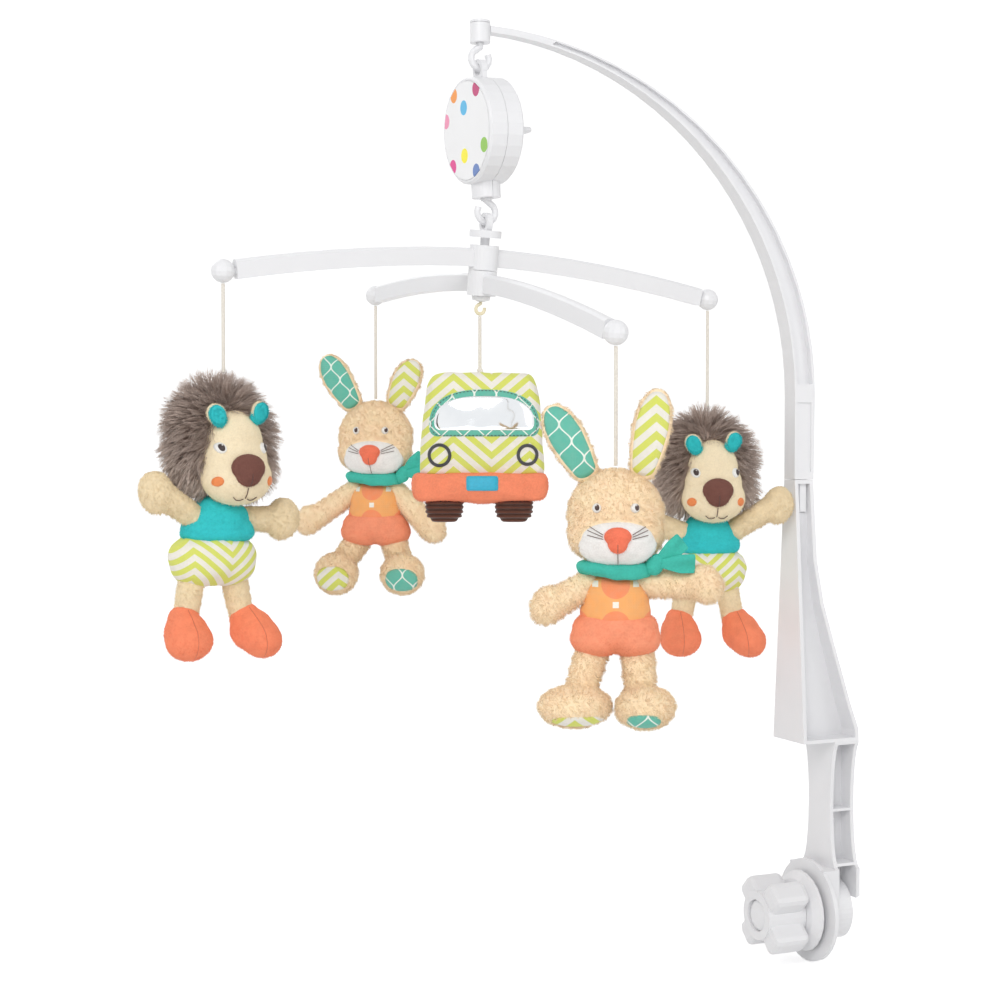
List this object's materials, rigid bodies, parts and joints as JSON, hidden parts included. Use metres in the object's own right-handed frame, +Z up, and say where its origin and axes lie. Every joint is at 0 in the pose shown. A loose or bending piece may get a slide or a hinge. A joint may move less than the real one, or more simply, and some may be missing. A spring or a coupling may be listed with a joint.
{
  "type": "crib mobile",
  "caption": "Crib mobile: a screw clamp and curved arm for a cot rail, a hanging wind-up music box, and crossed bars carrying plush lion, rabbit and van toys on cords.",
  "frame": {"origin": "on the clamp's fixed jaw face, 20 mm above the stud's axis", "axes": "+Z up, -X out of the jaw face, towards and over the cot; Y along the cot rail"},
  "size_m": [0.5306, 0.4255, 0.6742],
  "materials": {
    "white_abs": "fine satin moulding",
    "steel": "plain",
    "brass": "stamped",
    "cotton_cord": "twisted cotton cord",
    "printed_film": "white film with coloured dots",
    "mirror_film": "flexible mirror foil",
    "brown_fur": "long pile fur",
    "cream_plush": "short velour",
    "turquoise_plush": "velour and printed cotton",
    "curly_plush": "curly teddy plush",
    "coral_plush": "velour and printed cotton",
    "teal_plush": "short velour",
    "chevron_cotton": "printed chevron cotton",
    "brown_corduroy": "ribbed plush"
  },
  "bodies": {
    "stand": {"lower_post": "white_abs", "upper_arm": "white_abs", "tip_cap": "white_abs", "clamp_stud": "white_abs"},
    "clamp_plate": {"pressure_plate": "white_abs"},
    "knob": {"star_knob": "white_abs"},
    "upper_hook": {"top_hook": "white_abs"},
    "music_box": {"front_shell": "white_abs", "rear_shell": "white_abs", "face_disc": "printed_film", "case_screw_1": "steel", "case_screw_2": "steel", "case_screw_3": "steel", "movement_plate": "brass", "comb": "steel"},
    "winder": {"winding_key": "white_abs", "barrel_arbor": "steel", "mainspring": "steel"},
    "barrel": {"spring_barrel": "brass"},
    "cylinder": {"pin_cylinder": "brass"},
    "brake": {"governor": "brass"},
    "output": {"output_hook": "white_abs", "output_gear": "white_abs"},
    "hub": {"hub_spindle": "white_abs", "upper_bar": "white_abs", "spindle_nut": "white_abs", "toy_hook": "white_abs", "left_ball": "white_abs", "right_ball": "white_abs"},
    "cross_bar": {"lower_bar": "white_abs", "front_ball": "white_abs", "back_ball": "white_abs"},
    "left_cord": {"left_string": "cotton_cord"},
    "left_lion": {"left_lion_body": "turquoise_plush", "left_lion_head": "cream_plush", "left_lion_mane": "brown_fur"},
    "right_cord": {"right_string": "cotton_cord"},
    "right_lion": {"right_lion_body": "turquoise_plush", "right_lion_head": "cream_plush", "right_lion_mane": "brown_fur"},
    "front_cord": {"front_string": "cotton_cord"},
    "front_rabbit": {"front_rabbit_body": "coral_plush", "front_rabbit_head": "curly_plush", "front_rabbit_scarf": "teal_plush", "front_rabbit_left_ear": "curly_plush", "front_rabbit_right_ear": "curly_plush"},
    "back_cord": {"back_string": "cotton_cord"},
    "back_rabbit": {"back_rabbit_body": "coral_plush", "back_rabbit_head": "curly_plush", "back_rabbit_scarf": "teal_plush", "back_rabbit_left_ear": "curly_plush", "back_rabbit_right_ear": "curly_plush"},
    "van_cord": {"van_string": "cotton_cord"},
    "van_toy": {"van_body": "chevron_cotton", "van_mirror": "mirror_film", "van_left_wheel": "brown_corduroy", "van_right_wheel": "brown_corduroy"}
  },
  "joints": [
    {"name": "clamp_slide", "type": "slide", "parent": "stand", "child": "clamp_plate", "axis": [-1, 0, 0], "range_m": [0, 0.018]},
    {"name": "knob_turn", "type": "hinge", "parent": "clamp_plate", "child": "knob", "pos_m": [0, 0, -0.02], "axis": [-1, 0, 0], "range_deg": [-10, 2180]},
    {"name": "hook_swivel", "type": "hinge", "parent": "stand", "child": "upper_hook", "pos_m": [-0.266, 0, 0.583], "axis": [0, 0, 1], "continuous": true},
    {"name": "box_swing", "type": "hinge", "parent": "upper_hook", "child": "music_box", "pos_m": [-0.266, 0, 0.583], "axis": [0.9976, 0.0698, 0], "range_deg": [-25, 25]},
    {"name": "key_turn", "type": "hinge", "parent": "music_box", "child": "winder", "pos_m": [-0.26366, 0.00016, 0.54107], "axis": [0.996, 0.0696, 0.0558], "continuous": true},
    {"name": "output_spin", "type": "hinge", "parent": "music_box", "child": "output", "pos_m": [-0.26122, 0.00033, 0.58313], "axis": [0, 0, 1], "continuous": true},
    {"name": "barrel_turn", "type": "hinge", "parent": "music_box", "child": "barrel", "pos_m": [-0.26366, 0.00016, 0.54107], "axis": [0.996, 0.0696, 0.0558], "continuous": true},
    {"name": "cylinder_turn", "type": "hinge", "parent": "music_box", "child": "cylinder", "pos_m": [-0.26986, -0.00027, 0.55374], "axis": [0.0698, -0.9976, 0], "continuous": true},
    {"name": "governor_turn", "type": "hinge", "parent": "music_box", "child": "brake", "pos_m": [-0.27151, 0.01615, 0.5447], "axis": [0.996, 0.0696, 0.0558], "continuous": true},
    {"name": "hub_swing", "type": "hinge", "parent": "output", "child": "hub", "pos_m": [-0.26122, 0.00033, 0.47943], "axis": [1, 0, 0], "range_deg": [-20, 20]},
    {"name": "bar_fold", "type": "hinge", "parent": "hub", "child": "cross_bar", "pos_m": [-0.26122, 0.00033, 0.47943], "axis": [0.0192, -0.134, 0.9908], "range_deg": [-20, 20]},
    {"name": "left_swing", "type": "hinge", "parent": "hub", "child": "left_cord", "pos_m": [-0.44677, -0.00391, 0.43855], "axis": [1, 0, 0], "range_deg": [-10, 10]},
    {"name": "left_twist", "type": "hinge", "parent": "left_cord", "child": "left_lion", "pos_m": [-0.44677, -0.00391, 0.37325], "axis": [0, 0, 1], "range_deg": [-60, 60]},
    {"name": "right_swing", "type": "hinge", "parent": "hub", "child": "right_cord", "pos_m": [-0.07734, 0.01623, 0.43412], "axis": [1, 0, 0], "range_deg": [-10, 10]},
    {"name": "right_twist", "type": "hinge", "parent": "right_cord", "child": "right_lion", "pos_m": [-0.07734, 0.01623, 0.35552], "axis": [0, 0, 1], "range_deg": [-60, 60]},
    {"name": "front_swing", "type": "hinge", "parent": "cross_bar", "child": "front_cord", "pos_m": [-0.25303, -0.17458, 0.39416], "axis": [0, 1, 0], "range_deg": [-10, 10]},
    {"name": "front_twist", "type": "hinge", "parent": "front_cord", "child": "front_rabbit", "pos_m": [-0.25303, -0.17458, 0.31426], "axis": [0, 0, 1], "range_deg": [-60, 60]},
    {"name": "back_swing", "type": "hinge", "parent": "cross_bar", "child": "back_cord", "pos_m": [-0.27175, 0.19157, 0.44403], "axis": [0, 1, 0], "range_deg": [-10, 10]},
    {"name": "back_twist", "type": "hinge", "parent": "back_cord", "child": "back_rabbit", "pos_m": [-0.27175, 0.19157, 0.36343], "axis": [0, 0, 1], "range_deg": [-60, 60]},
    {"name": "van_swing", "type": "hinge", "parent": "hub", "child": "van_cord", "pos_m": [-0.26242, 0.00871, 0.41751], "axis": [1, 0, 0], "range_deg": [-10, 10]},
    {"name": "van_twist", "type": "hinge", "parent": "van_cord", "child": "van_toy", "pos_m": [-0.26242, 0.00871, 0.37671], "axis": [0, 0, 1], "range_deg": [-60, 60]}
  ],
  "couplings": [
    {"joint": "knob_turn", "follows": "clamp_slide", "rad_per_m": 2094.4},
    {"joint": "barrel_turn", "follows": "output_spin", "ratio": 0.25},
    {"joint": "cylinder_turn", "follows": "output_spin", "ratio": 1.5},
    {"joint": "governor_turn", "follows": "output_spin", "ratio": 12}
  ]
}
